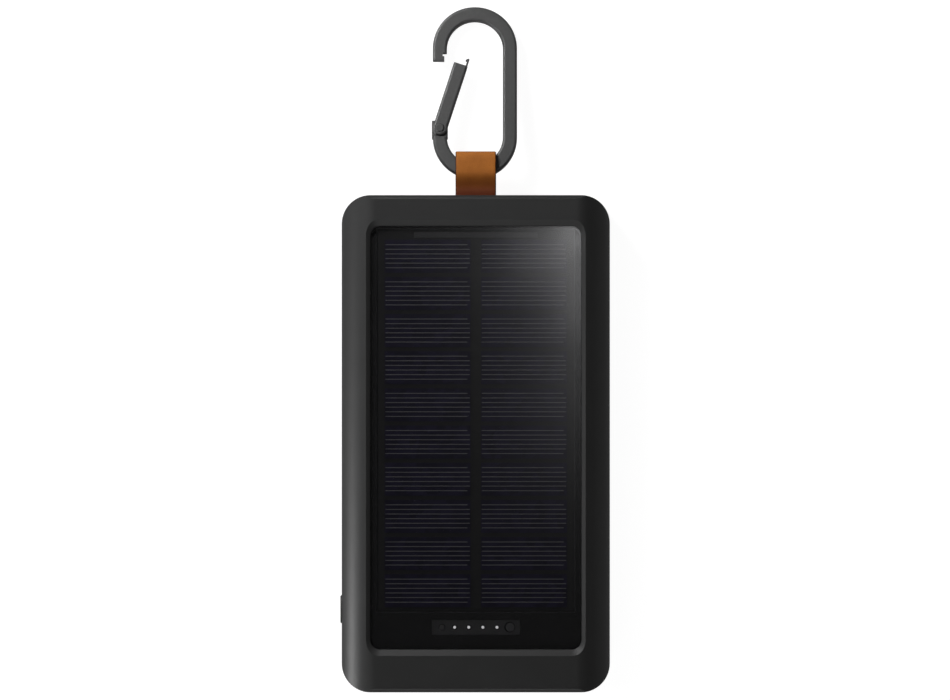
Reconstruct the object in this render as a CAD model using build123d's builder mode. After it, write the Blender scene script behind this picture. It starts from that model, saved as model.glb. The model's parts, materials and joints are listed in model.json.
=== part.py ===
from build123d import *
import os
from math import cos, sin, radians

# Solar phone charger: a flat power bank with a solar panel on its front face,
# a leather strap loop at one end and an accessory carabiner through the loop.
# It lies on its back.  +X is the width (the power button is on the -X side),
# +Y is the length (the strap end), +Z is up, out of the solar panel.
# The origin is the centre of the back's rest face.  Millimetres.

os.makedirs("parts", exist_ok=True)

# ---- driving dimensions ----------------------------------------------------

# case
case_w = 78.0
case_l = 144.5
case_bottom = 0.5           # back of the rear shell, above the rest plane
case_top = 21.0
side_r = 9.6                # rounding of the long sides, seen from the end
corner_r = 8.4              # rounding of the corners, seen from above
end_r = 1.2                 # softened edge round the two ends
wall = 2.0
case_t = case_top - case_bottom
mid_z = (case_top + case_bottom) / 2
gasket_t = 0.6
join_low = mid_z - gasket_t / 2
join_high = mid_z + gasket_t / 2
fit_gap = 0.15

# panel under the front opening
lens_w = 61.4
lens_l = 123.0
lens_r = 2.8
lens_t = 1.2
lens_y = 1.76
lens_top = 20.1
lens_bottom = lens_top - lens_t
funnel_run = 1.9            # width of the slope round the panel
tape_t = 0.2
ledge_z = lens_bottom - tape_t
backplane_w = 57.0
backplane_t = 0.8
cell_t = 0.3
backplane_top = ledge_z - cell_t - 0.1
pocket_floor = backplane_top - backplane_t - 0.1
floor_t = 1.5
floor_bottom = pocket_floor - floor_t
cell_w = 25.0
cell_l = 9.6
cell_x = 14.0
cell_pitch = 10.8
cell_rows = 10
first_cell_y = 54.5
last_cell_y = first_cell_y - (cell_rows - 1) * cell_pitch
backplane_y0 = last_cell_y - cell_l / 2 - 1.2
backplane_y1 = first_cell_y + cell_l / 2 + 3.0

# status lights
led_y = -53.35
solar_lead_xs = [-8.0, -4.0]
led_pitch = 4.1
led_xs = [led_pitch * (i - 1.5) for i in range(4)]
side_led_x = 9.85
guide_r = 0.55
small_guide_r = 0.8
big_guide_r = 1.4

# circuit board and what stands on it
board_t = 1.2
board_z = 5.8
board_top = board_z + board_t
board_w = 68.0
board_y0 = -58.0
board_y1 = -41.5
tail_w = 39.4
tail_y0 = -68.4
board_post_x = 27.0
board_post_y = -53.5

# sockets on the -Y end
usb_a_x = 13.0
usb_a_w = 13.1
usb_a_h = 5.7
usb_a_l = 13.9
usb_c_w = 8.94
usb_c_h = 3.26
usb_c_l = 7.6
socket_front = -69.4
usb_a_z = board_top + usb_a_h / 2
usb_c_z = board_top + usb_c_h / 2

# flap over the sockets
flap_w = 44.0
flap_t = 1.5
flap_low = 5.3
flap_high = 14.85
flap_hinge_z = 14.95
recess_depth = 1.7
plug_depth = 1.1

# power button and its switch
button_y = -48.15
button_l = 8.1
button_h = 4.4
button_proud = 0.4

flange_x = -36.1
flange_t = 0.7
plunger_r = 1.62
switch_bore_r = 1.70
switch_x = -34.4
switch_d = 3.6

# battery
battery_w = 60.0
battery_l = 96.0
battery_t = 12.0
battery_y0 = -36.5
foam_t = 0.5

# strap and carabiner
strap_w = 11.8
strap_t = 1.1
strap_pin_r = 1.5
strap_pin_y = 66.3
hinge_y = case_l / 2 + 1.6
hinge_r = 1.5
bar_w = 4.1                 # carabiner stock, a flat bar with rounded edges
bar_t = 3.6
bar_edge = 0.7
bow_r = 10.2                # centreline radius of the carabiner's round ends
tilt = radians(9.7)         # the far end just touches what the charger lies on
carabiner_x = -0.25
bow_near_plan = 77.05       # nearest and furthest edges, seen from above
bow_far_plan = 126.9
strap_end_plan = 84.85
nose_plan = 111.4
pivot_plan = 91.65
pivot_r = 2.2
knuckle_w = 4.65
knuckle_v = 2.25            # how far the knuckle stands past the pivot
pin_r = 0.8
tongue_half = 0.7
slot_half = 0.8
gate_open = 17.9            # degrees that the gate stands open

# fasteners
screw_xs = [-23.0, 23.0]
screw_ys = [-65.0, 65.2]
screw_r = 0.95
boss_r = 2.9
head_r = 1.9
head_t = 1.2
pad_w = 52.0
pad_l = 138.0
pad_t = 1.2

# positions along the tilted plane of the strap and the carabiner
bow_near = (bow_near_plan - hinge_y) / cos(tilt)
bow_far = (bow_far_plan - hinge_y) / cos(tilt)
near_v = bow_near + bow_r + bar_w / 2
far_v = bow_far - bow_r - bar_w / 2
strap_end_v = (strap_end_plan - hinge_y) / cos(tilt)
nose_v = (nose_plan - hinge_y) / cos(tilt)
pivot_v = (pivot_plan - hinge_y) / cos(tilt)
left_u = carabiner_x - bow_r
right_u = carabiner_x + bow_r

# u runs along +X, v away from the case in the plane of the carabiner
loop_plane = Plane(
    origin=(0, hinge_y, mid_z), x_dir=(1, 0, 0), z_dir=(0, sin(tilt), cos(tilt))
)
# v along the strap, h through its thickness, seen from the -X side
strap_side_plane = Plane(
    origin=(0, hinge_y, mid_z), x_dir=(0, cos(tilt), -sin(tilt)), z_dir=(1, 0, 0)
)


def case_block(inset):
    """The whole case's outer form, shrunk evenly by inset."""
    with BuildPart() as block:
        with BuildSketch(Plane.XZ):
            with Locations((0, mid_z)):
                RectangleRounded(case_w - 2 * inset, case_t - 2 * inset, side_r - inset)
        extrude(amount=case_l / 2 - inset, both=True)
        with BuildSketch(Plane.XY):
            RectangleRounded(case_w - 2 * inset, case_l - 2 * inset, corner_r - inset)
        extrude(amount=case_top, mode=Mode.INTERSECT)
        with BuildSketch(Plane.YZ):
            with Locations((0, mid_z)):
                RectangleRounded(case_l - 2 * inset, case_t - 2 * inset, max(end_r - inset, 0.4))
        extrude(amount=case_w, both=True, mode=Mode.INTERSECT)
    return block.part


def slab(z0, z1):
    """A block wider than the case between two heights, to cut it with."""
    with BuildPart() as cutter:
        with BuildSketch(Plane.XY.offset(z0)):
            Rectangle(case_w + 10, case_l + 10)
        extrude(amount=z1 - z0)
    return cutter.part


def column(x, y, r, z0, z1):
    """An upright cylinder between two heights."""
    with BuildPart() as post:
        with BuildSketch(Plane.XY.offset(z0)):
            with Locations((x, y)):
                Circle(r)
        extrude(amount=z1 - z0)
    return post.part


def screw_columns(r, z0, z1):
    """One upright cylinder at each of the four shell screws."""
    return [column(x, y, r, z0, z1) for x in screw_xs for y in screw_ys]


def wall_openings():
    """Everything that passes through the walls at the join of the shells."""
    with BuildPart() as cuts:
        with BuildSketch(Plane.YZ.offset(-case_w / 2 - 2)):
            with Locations((button_y, mid_z)):
                SlotOverall(button_l + 2 * fit_gap + 0.1, button_h + 2 * fit_gap + 0.1)
        extrude(amount=8)
        with BuildSketch(Plane.XZ.offset(-case_l / 2 - 1)):
            with Locations((0, mid_z)):
                RectangleRounded(strap_w + 1.2, 3.1, 0.5)
        extrude(amount=6)
        with BuildSketch(Plane.XZ.offset(case_l / 2 + 1)):
            with Locations((-usb_a_x, usb_a_z), (usb_a_x, usb_a_z)):
                RectangleRounded(usb_a_w + 0.5, usb_a_h + 0.5, 0.6)
            with Locations((0, usb_c_z)):
                SlotOverall(usb_c_w + 0.5, usb_c_h + 0.5)
        extrude(amount=-8)
        with BuildSketch(Plane.XZ.offset(case_l / 2 + 1)):
            with Locations((0, (flap_low + flap_hinge_z) / 2 - 0.15)):
                RectangleRounded(flap_w + 0.8, flap_hinge_z - flap_low + 0.35, 1.6)
        extrude(amount=-1 - recess_depth)
        with BuildSketch(Plane.XZ.offset(case_l / 2 + 1)):
            with Locations((0, flap_hinge_z + 0.35)):
                Rectangle(32.4, 0.7)
        extrude(amount=-5.2)
    return cuts.part


def socket_wall():
    """The thicker stretch of end wall behind the flap."""
    with BuildPart() as thick:
        with BuildSketch(Plane.XZ.offset(case_l / 2 - wall + 0.5)):
            with Locations((0, mid_z - 0.2)):
                Rectangle(50, 12.4)
        extrude(amount=-2.2)
    return thick.part


openings = wall_openings()
outer_form = case_block(0)
inner_form = case_block(wall)
end_wall = socket_wall()

# ---- shells ------------------------------------------------------------------

# front shell: rounded frame, sloped surround, ledge and floor under the panel
with BuildPart() as front_shell:
    add(outer_form)
    add(inner_form, mode=Mode.SUBTRACT)
    add(end_wall)
    with BuildSketch(Plane.XY.offset(floor_bottom)):
        with Locations((0, lens_y)):
            RectangleRounded(lens_w + 3.0, lens_l + 3.0, lens_r + 1)
    extrude(amount=lens_bottom - floor_bottom)
    for post in screw_columns(boss_r, join_high, case_top - 1.5):
        add(post)
    with BuildSketch(Plane.YZ.offset(-11.5)):
        with Locations((strap_pin_y, (join_high + case_top - 1.5) / 2)):
            Rectangle(4.6, case_top - 1.5 - join_high)
    extrude(amount=3)
    with BuildSketch(Plane.YZ.offset(8.5)):
        with Locations((strap_pin_y, (join_high + case_top - 1.5) / 2)):
            Rectangle(4.6, case_top - 1.5 - join_high)
    extrude(amount=3)
    # sloped surround, then the pockets for the lens and for the cell board
    with BuildSketch(Plane.XY.offset(lens_top)):
        with Locations((0, lens_y)):
            RectangleRounded(lens_w + 0.2, lens_l + 0.2, lens_r + 0.1)
    with BuildSketch(Plane.XY.offset(case_top)):
        with Locations((0, lens_y)):
            RectangleRounded(
                lens_w + 2 * funnel_run, lens_l + 2 * funnel_run, lens_r + funnel_run
            )
    loft(mode=Mode.SUBTRACT)
    with BuildSketch(Plane.XY.offset(ledge_z)):
        with Locations((0, lens_y)):
            RectangleRounded(lens_w + 0.2, lens_l + 0.2, lens_r + 0.1)
    extrude(amount=lens_top - ledge_z, mode=Mode.SUBTRACT)
    with BuildSketch(Plane.XY.offset(pocket_floor)):
        with Locations((0, (backplane_y0 + backplane_y1) / 2)):
            Rectangle(backplane_w + 0.4, backplane_y1 - backplane_y0 + 0.4)
    extrude(amount=ledge_z - pocket_floor, mode=Mode.SUBTRACT)
    # holes for the light guides and for the solar leads
    with BuildSketch(Plane.XY.offset(floor_bottom - 1)):
        with Locations(*[(x, led_y) for x in led_xs]):
            Circle(guide_r + fit_gap)
        with Locations((-side_led_x, led_y)):
            Circle(small_guide_r + fit_gap)
        with Locations((side_led_x, led_y)):
            Circle(big_guide_r + fit_gap)
        with Locations(*[(x, backplane_y0 + 1.5) for x in solar_lead_xs]):
            Circle(1.0)
    extrude(amount=lens_bottom, mode=Mode.SUBTRACT)
    for hole in screw_columns(screw_r, join_high - 1, join_high + 5):
        add(hole, mode=Mode.SUBTRACT)
    with BuildSketch(Plane.YZ):
        with Locations((strap_pin_y, mid_z)):
            Circle(strap_pin_r + 0.02)
    extrude(amount=12, both=True, mode=Mode.SUBTRACT)
    add(openings, mode=Mode.SUBTRACT)
    add(slab(-5, join_high), mode=Mode.SUBTRACT)
front_shell.part.label = "front_shell"
export_step(front_shell.part, "parts/front_shell.step")

# locating lip that stands up inside the front shell
lip_outer = case_block(wall + fit_gap)
lip_root = case_block(wall - 0.3)
lip_inner = case_block(wall + 1.1)
with BuildPart() as lip:
    add(lip_root)
    add(slab(join_low, case_top + 5), mode=Mode.SUBTRACT)
    add(lip_outer)
    add(lip_inner, mode=Mode.SUBTRACT)
    add(slab(-5, join_low - 2.5), mode=Mode.SUBTRACT)
    add(slab(join_high + 1.4, case_top + 5), mode=Mode.SUBTRACT)
    with BuildSketch(Plane.XY):
        with Locations((-case_w / 2, button_y)):
            Rectangle(10, 13)
        with Locations((0, case_l / 2)):
            Rectangle(26, 12)
        with Locations((0, -case_l / 2)):
            Rectangle(52, 14)
    extrude(amount=case_top, mode=Mode.SUBTRACT)

# rear shell: back, lower walls, screw posts, board posts, pin saddles
with BuildPart() as rear_shell:
    add(outer_form)
    add(inner_form, mode=Mode.SUBTRACT)
    add(end_wall)
    for post in screw_columns(boss_r, case_bottom + 1, join_low):
        add(post)
    with BuildSketch(Plane.XY.offset(case_bottom + 1)):
        with Locations((-board_post_x, board_post_y), (board_post_x, board_post_y)):
            Circle(2.4)
    extrude(amount=board_z - case_bottom - 1)
    with BuildSketch(Plane.YZ.offset(-11.5)):
        with Locations((strap_pin_y, (join_low + case_bottom + 1) / 2)):
            Rectangle(4.6, join_low - case_bottom - 1)
    extrude(amount=3)
    with BuildSketch(Plane.YZ.offset(8.5)):
        with Locations((strap_pin_y, (join_low + case_bottom + 1) / 2)):
            Rectangle(4.6, join_low - case_bottom - 1)
    extrude(amount=3)
    add(slab(join_low, case_top + 5), mode=Mode.SUBTRACT)
    add(lip.part)
    # recess for the grip pad, counterbored screw holes, board screw holes
    with BuildSketch(Plane.XY.offset(case_bottom - 1)):
        RectangleRounded(pad_w + 0.3, pad_l + 0.3, 6.15)
    extrude(amount=pad_t - case_bottom + 1, mode=Mode.SUBTRACT)
    for hole in screw_columns(head_r + fit_gap, 0, pad_t + head_t + 0.1):
        add(hole, mode=Mode.SUBTRACT)
    for hole in screw_columns(screw_r + fit_gap, 0, join_low + 1):
        add(hole, mode=Mode.SUBTRACT)
    with BuildSketch(Plane.XY.offset(board_z - 3)):
        with Locations((-board_post_x, board_post_y), (board_post_x, board_post_y)):
            Circle(0.8)
    extrude(amount=4, mode=Mode.SUBTRACT)
    with BuildSketch(Plane.YZ):
        with Locations((strap_pin_y, mid_z)):
            Circle(strap_pin_r + 0.02)
    extrude(amount=12, both=True, mode=Mode.SUBTRACT)
    # thumb notch under the flap's lower edge
    with BuildSketch(Plane.XZ.offset(case_l / 2 + 1)):
        with Locations((0, flap_low + 0.4)):
            Circle(3.2)
    extrude(amount=-2.0, mode=Mode.SUBTRACT)
    add(openings, mode=Mode.SUBTRACT)
rear_shell.part.label = "rear_shell"
export_step(rear_shell.part, "parts/rear_shell.step")

# rubber gasket squeezed between the two shells
gasket_outer = case_block(0.3)
gasket_inner = case_block(wall)
with BuildPart() as shell_gasket:
    add(gasket_outer)
    add(gasket_inner, mode=Mode.SUBTRACT)
    add(openings, mode=Mode.SUBTRACT)
    add(slab(-5, join_low), mode=Mode.SUBTRACT)
    add(slab(join_high, case_top + 5), mode=Mode.SUBTRACT)
shell_gasket.part.label = "shell_gasket"
export_step(shell_gasket.part, "parts/shell_gasket.step")

# four self-tapping screws that hold the shells together
with BuildPart() as shell_screws:
    for x in screw_xs:
        for y in screw_ys:
            add(column(x, y, head_r, pad_t + 0.05, pad_t + 0.05 + head_t))
            add(column(x, y, screw_r, pad_t + head_t, join_high + 4.5))
            with BuildSketch(Plane.XY.offset(pad_t)):
                with Locations((x, y)):
                    RegularPolygon(radius=0.9, side_count=6)
            extrude(amount=0.7, mode=Mode.SUBTRACT)
shell_screws.part.label = "shell_screws"
export_step(shell_screws.part, "parts/shell_screws.step")

# grooved rubber pad that the charger rests on, over the screw heads
with BuildPart() as rear_grip_pad:
    with BuildSketch(Plane.XY):
        RectangleRounded(pad_w, pad_l, 6.0)
    extrude(amount=pad_t)
    with BuildSketch(Plane.XY):
        with GridLocations(0, 8, 1, 16):
            SlotOverall(pad_w - 8, 2.0)
    extrude(amount=0.35, mode=Mode.SUBTRACT)
rear_grip_pad.part.label = "rear_grip_pad"
export_step(rear_grip_pad.part, "parts/rear_grip_pad.step")

# ---- panel -------------------------------------------------------------------

# clear cover over the cells and the status lights
with BuildPart() as cover_lens:
    with BuildSketch(Plane.XY.offset(lens_bottom)):
        with Locations((0, lens_y)):
            RectangleRounded(lens_w, lens_l, lens_r)
    extrude(amount=lens_t)
    chamfer(cover_lens.faces().sort_by(Axis.Z)[-1].edges(), 0.15)
cover_lens.part.label = "cover_lens"
export_step(cover_lens.part, "parts/cover_lens.step")

# ring of adhesive between the lens and its ledge
with BuildPart() as lens_adhesive:
    with BuildSketch(Plane.XY.offset(ledge_z)):
        with Locations((0, lens_y)):
            RectangleRounded(lens_w - 0.4, lens_l - 0.4, lens_r - 0.2)
        with Locations((0, (backplane_y0 + backplane_y1) / 2)):
            Rectangle(
                backplane_w + 0.8, backplane_y1 - backplane_y0 + 0.8, mode=Mode.SUBTRACT
            )
        with Locations((0, led_y)):
            Rectangle(2 * side_led_x + 6, 4.4, mode=Mode.SUBTRACT)
    extrude(amount=tape_t)
lens_adhesive.part.label = "lens_adhesive"
export_step(lens_adhesive.part, "parts/lens_adhesive.step")

# board that carries the solar cells
with BuildPart() as solar_backplane:
    with BuildSketch(Plane.XY.offset(backplane_top - backplane_t)):
        with Locations((0, (backplane_y0 + backplane_y1) / 2)):
            Rectangle(backplane_w, backplane_y1 - backplane_y0)
    extrude(amount=backplane_t)
solar_backplane.part.label = "solar_backplane"
export_step(solar_backplane.part, "parts/solar_backplane.step")

# two strings of ten solar cells
with BuildPart() as solar_cells:
    with BuildSketch(Plane.XY.offset(backplane_top)):
        with Locations((0, (first_cell_y + last_cell_y) / 2)):
            with GridLocations(2 * cell_x, cell_pitch, 2, cell_rows):
                Rectangle(cell_w, cell_l)
    extrude(amount=cell_t)
solar_cells.part.label = "solar_cells"
export_step(solar_cells.part, "parts/solar_cells.step")

# flat copper ribbon that joins the two strings at the strap end
with BuildPart() as string_ribbon:
    with BuildSketch(Plane.XY.offset(backplane_top)):
        with Locations((0, first_cell_y + cell_l / 2 + 1.4)):
            Rectangle(2 * cell_x + 8, 1.6)
    extrude(amount=0.2)
string_ribbon.part.label = "string_ribbon"
export_step(string_ribbon.part, "parts/string_ribbon.step")

# one clear moulding that leads the lights up to the lens
with BuildPart() as light_guide:
    with BuildSketch(Plane.XY.offset(board_top + 1.4)):
        with Locations((0, led_y)):
            RectangleRounded(2 * side_led_x + 4.6, 4.0, 1.0)
    extrude(amount=1.2)
    with BuildSketch(Plane.XY.offset(board_top + 2.4)):
        with Locations(*[(x, led_y) for x in led_xs]):
            Circle(guide_r)
        with Locations((-side_led_x, led_y)):
            Circle(small_guide_r)
        with Locations((side_led_x, led_y)):
            Circle(big_guide_r)
    extrude(amount=lens_bottom - 0.05 - board_top - 2.4)
light_guide.part.label = "light_guide"
export_step(light_guide.part, "parts/light_guide.step")

# ---- electronics -------------------------------------------------------------

# T-shaped main board
with BuildPart() as main_board:
    with BuildSketch(Plane.XY.offset(board_z)):
        with Locations((0, (board_y0 + board_y1) / 2)):
            RectangleRounded(board_w, board_y1 - board_y0, 1.5)
        with Locations((0, (tail_y0 + board_y0 + 3) / 2)):
            Rectangle(tail_w, board_y0 + 3 - tail_y0)
        with Locations((-board_post_x, board_post_y), (board_post_x, board_post_y)):
            Circle(1.1, mode=Mode.SUBTRACT)
    extrude(amount=board_t)
main_board.part.label = "main_board"
export_step(main_board.part, "parts/main_board.step")

# two screws that hold the board on its posts
with BuildPart() as board_screws:
    for x in [-board_post_x, board_post_x]:
        add(column(x, board_post_y, 1.9, board_top, board_top + 1.1))
        add(column(x, board_post_y, 0.8, board_z - 2.6, board_top))
board_screws.part.label = "board_screws"
export_step(board_screws.part, "parts/board_screws.step")

# six light-emitting diodes under the light guide
with BuildPart() as status_leds:
    with BuildSketch(Plane.XY.offset(board_top)):
        with Locations(*[(x, led_y) for x in led_xs + [-side_led_x, side_led_x]]):
            Rectangle(1.6, 0.8)
    extrude(amount=0.7)
status_leds.part.label = "status_leds"
export_step(status_leds.part, "parts/status_leds.step")

# folded steel shells of the two output sockets
with BuildPart() as usb_a_shells:
    with BuildSketch(Plane.XZ.offset(-socket_front)):
        with Locations((-usb_a_x, usb_a_z), (usb_a_x, usb_a_z)):
            Rectangle(usb_a_w, usb_a_h)
            Rectangle(usb_a_w - 0.6, usb_a_h - 0.6, mode=Mode.SUBTRACT)
    extrude(amount=-usb_a_l)
usb_a_shells.part.label = "usb_a_shells"
export_step(usb_a_shells.part, "parts/usb_a_shells.step")

# plastic inserts with the contact tongue, inside those shells
with BuildPart() as usb_a_tongues:
    with BuildSketch(Plane.XZ.offset(-socket_front - 1.0)):
        with Locations((-usb_a_x, usb_a_z + 1.2), (usb_a_x, usb_a_z + 1.2)):
            Rectangle(11.1, 1.8)
    extrude(amount=-usb_a_l + 1.2)
    with BuildSketch(Plane.XZ.offset(-socket_front - usb_a_l + 3.2)):
        with Locations((-usb_a_x, usb_a_z), (usb_a_x, usb_a_z)):
            Rectangle(usb_a_w - 0.7, usb_a_h - 0.7)
    extrude(amount=-3.0)
usb_a_tongues.part.label = "usb_a_tongues"
export_step(usb_a_tongues.part, "parts/usb_a_tongues.step")

# drawn steel shell of the oval socket
with BuildPart() as usb_c_shell:
    with BuildSketch(Plane.XZ.offset(-socket_front)):
        with Locations((0, usb_c_z)):
            SlotOverall(usb_c_w, usb_c_h)
            SlotOverall(usb_c_w - 0.5, usb_c_h - 0.5, mode=Mode.SUBTRACT)
    extrude(amount=-usb_c_l)
usb_c_shell.part.label = "usb_c_shell"
export_step(usb_c_shell.part, "parts/usb_c_shell.step")

# its contact tongue and back block
with BuildPart() as usb_c_tongue:
    with BuildSketch(Plane.XZ.offset(-socket_front - 1.2)):
        with Locations((0, usb_c_z)):
            Rectangle(6.7, 0.7)
    extrude(amount=-usb_c_l + 1.4)
    with BuildSketch(Plane.XZ.offset(-socket_front - usb_c_l + 1.7)):
        with Locations((0, usb_c_z)):
            SlotOverall(usb_c_w - 0.6, usb_c_h - 0.6)
    extrude(amount=-1.5)
usb_c_tongue.part.label = "usb_c_tongue"
export_step(usb_c_tongue.part, "parts/usb_c_tongue.step")

# right-angle push switch behind the power button
with BuildPart() as tact_switch:
    with BuildSketch(Plane.XY.offset(board_top)):
        with Locations((switch_x + switch_d / 2, button_y)):
            Rectangle(switch_d, 6.2)
    extrude(amount=6.8)
    with BuildSketch(Plane.YZ.offset(switch_x - 0.5)):
        with Locations((button_y, mid_z)):
            Circle(switch_bore_r)
    extrude(amount=0.5 + 1.4, mode=Mode.SUBTRACT)
tact_switch.part.label = "tact_switch"
export_step(tact_switch.part, "parts/tact_switch.step")

# plunger of the switch, pushed by the button
with BuildPart() as switch_plunger:
    with BuildSketch(Plane.YZ.offset(flange_x + flange_t + 0.05)):
        with Locations((button_y, mid_z)):
            Circle(plunger_r)
    extrude(amount=switch_x + 0.8 - (flange_x + flange_t + 0.05))
switch_plunger.part.label = "switch_plunger"
export_step(switch_plunger.part, "parts/switch_plunger.step")

# inductor, chips, capacitors and connector on the board
with BuildPart() as power_inductor:
    with BuildSketch(Plane.XY.offset(board_top)):
        with Locations((26, -46.2)):
            RectangleRounded(7.0, 6.6, 1.4)
    extrude(amount=4.2)
    chamfer(power_inductor.faces().sort_by(Axis.Z)[-1].edges(), 0.5)
power_inductor.part.label = "power_inductor"
export_step(power_inductor.part, "parts/power_inductor.step")

with BuildPart() as boost_chip:
    with BuildSketch(Plane.XY.offset(board_top)):
        with Locations((17.5, -46.5)):
            Rectangle(5.0, 4.0)
    extrude(amount=1.1)
boost_chip.part.label = "boost_chip"
export_step(boost_chip.part, "parts/boost_chip.step")

with BuildPart() as controller_chip:
    with BuildSketch(Plane.XY.offset(board_top)):
        with Locations((2, -46.5)):
            Rectangle(6.0, 6.0)
    extrude(amount=1.0)
controller_chip.part.label = "controller_chip"
export_step(controller_chip.part, "parts/controller_chip.step")

with BuildPart() as filter_capacitors:
    with BuildSketch(Plane.XY.offset(board_top)):
        with Locations((-6.5, -46.5), (9.5, -46.5), (-11.0, -46.5)):
            Rectangle(2.6, 3.6)
    extrude(amount=1.9)
filter_capacitors.part.label = "filter_capacitors"
export_step(filter_capacitors.part, "parts/filter_capacitors.step")

connector_x = -20.0
connector_y = -45.0
with BuildPart() as battery_connector:
    with BuildSketch(Plane.XY.offset(board_top)):
        with Locations((connector_x, connector_y)):
            Rectangle(7.4, 5.0)
    extrude(amount=4.4)
battery_connector.part.label = "battery_connector"
export_step(battery_connector.part, "parts/battery_connector.step")

# ---- battery -----------------------------------------------------------------

battery_y = battery_y0 + battery_l / 2
foam_z = case_bottom + wall
with BuildPart() as battery_foam:
    with BuildSketch(Plane.XY.offset(foam_z)):
        with Locations((0, battery_y)):
            Rectangle(40, 70)
    extrude(amount=foam_t)
battery_foam.part.label = "battery_foam"
export_step(battery_foam.part, "parts/battery_foam.step")

battery_z = foam_z + foam_t
with BuildPart() as battery_cell:
    with BuildSketch(Plane.XZ.offset(-battery_y0)):
        with Locations((0, battery_z + battery_t / 2)):
            RectangleRounded(battery_w - 2, battery_t, 3.0)
    extrude(amount=-battery_l)
battery_cell.part.label = "battery_cell"
export_step(battery_cell.part, "parts/battery_cell.step")

# protection circuit on the cell's terminal end, with the two welded tabs
guard_z = battery_z + battery_t - 3.2
with BuildPart() as protection_board:
    with BuildSketch(Plane.XY.offset(guard_z)):
        with Locations((-6, battery_y0 - 2.2)):
            Rectangle(34, 3.2)
    extrude(amount=0.8)
protection_board.part.label = "protection_board"
export_step(protection_board.part, "parts/protection_board.step")

with BuildPart() as battery_tabs:
    with BuildSketch(Plane.XY.offset(guard_z - 0.2)):
        with Locations((-16, battery_y0 - 1.7), (4, battery_y0 - 1.7)):
            Rectangle(5, 3.4)
    extrude(amount=0.2)
battery_tabs.part.label = "battery_tabs"
export_step(battery_tabs.part, "parts/battery_tabs.step")

# ---- leads inside the case ---------------------------------------------------

lead_r = 0.65


def lead(points, bend):
    """An insulated lead: straight runs joined by arcs of one radius."""
    with BuildPart() as wire:
        with BuildLine() as route:
            FilletPolyline(*points, radius=bend)
        with BuildSketch(Plane(origin=route.line @ 0, z_dir=route.line % 0)):
            Circle(lead_r)
        sweep()
    return wire.part


plug_top = board_top + 4.4
for name, x, start_x in [("battery_lead_red", -1.2, -19.0), ("battery_lead_black", 1.2, -12.0)]:
    px = connector_x + x
    battery_lead = lead(
        [
            (start_x, battery_y0 - 2.2, guard_z + 0.8),
            (start_x, battery_y0 - 2.2, guard_z + 2.6),
            (px, connector_y, plug_top + 2.4),
            (px, connector_y, plug_top),
        ],
        0.9,
    )
    battery_lead.label = name
    export_step(battery_lead, "parts/" + name + ".step")

solar_z = backplane_top - backplane_t
for name, x in zip(["solar_lead_red", "solar_lead_black"], solar_lead_xs):
    solar_lead = lead(
        [
            (x, backplane_y0 + 1.5, solar_z),
            (x, backplane_y0 + 1.5, solar_z - 3.6),
            (x, backplane_y0 - 1.7, board_top + 3.2),
            (x, backplane_y0 - 1.7, board_top),
        ],
        1.3,
    )
    solar_lead.label = name
    export_step(solar_lead, "parts/" + name + ".step")

# ---- power button and flap ---------------------------------------------------

with BuildPart() as power_button:
    with BuildSketch(Plane.YZ.offset(-case_w / 2 - button_proud)):
        with Locations((button_y, mid_z)):
            SlotOverall(button_l, button_h)
    extrude(amount=flange_x - (-case_w / 2 - button_proud))
    fillet(power_button.faces().sort_by(Axis.X)[0].edges(), 0.3)
    with BuildSketch(Plane.YZ.offset(flange_x)):
        with Locations((button_y, mid_z)):
            SlotOverall(button_l + 1.8, button_h + 1.6)
    extrude(amount=flange_t)
power_button.part.label = "power_button"
export_step(power_button.part, "parts/power_button.step")

flap_face = -case_l / 2 + 0.1
with BuildPart() as port_cover:
    with BuildSketch(Plane.XZ.offset(-flap_face)):
        with Locations((0, (flap_low + flap_high) / 2)):
            RectangleRounded(flap_w, flap_high - flap_low, 1.5)
    extrude(amount=-flap_t)
    with BuildSketch(Plane.XZ.offset(-flap_face - flap_t)):
        with Locations((-usb_a_x, usb_a_z), (usb_a_x, usb_a_z)):
            RectangleRounded(11.2, 3.6, 0.6)
        with Locations((0, usb_c_z)):
            SlotOverall(7.4, 1.9)
    extrude(amount=-plug_depth)
port_cover.part.label = "port_cover"
export_step(port_cover.part, "parts/port_cover.step")

# tongue of the flap's live hinge, trapped in the slot above it
with BuildPart() as cover_tether:
    with BuildSketch(Plane.XZ.offset(-flap_face)):
        with Locations((0, flap_hinge_z + 0.35)):
            Rectangle(32.0, 0.56)
    extrude(amount=-4.9)
    with BuildSketch(Plane.XZ.offset(-flap_face - 4.3)):
        with Locations((0, flap_hinge_z + 0.35)):
            Rectangle(32.0, 1.6)
    extrude(amount=-0.9)
cover_tether.part.label = "cover_tether"
export_step(cover_tether.part, "parts/cover_tether.step")

# ---- strap -------------------------------------------------------------------

root_r = strap_pin_r + 0.05 + strap_t
with BuildPart() as strap_root:
    with BuildSketch(Plane.YZ.offset(-strap_w / 2)):
        with Locations((strap_pin_y, mid_z)):
            Circle(root_r)
        with Locations(((strap_pin_y + case_l / 2) / 2, mid_z)):
            Rectangle(case_l / 2 - strap_pin_y, 2 * strap_t + 0.2)
        with Locations((strap_pin_y, mid_z)):
            Circle(strap_pin_r + 0.05, mode=Mode.SUBTRACT)
    extrude(amount=strap_w)
strap_root.part.label = "strap_root"
export_step(strap_root.part, "parts/strap_root.step")

with BuildPart() as strap_pin:
    with BuildSketch(Plane.YZ.offset(-11.5)):
        with Locations((strap_pin_y, mid_z)):
            Circle(strap_pin_r)
    extrude(amount=23)
strap_pin.part.label = "strap_pin"
export_step(strap_pin.part, "parts/strap_pin.step")

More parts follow.
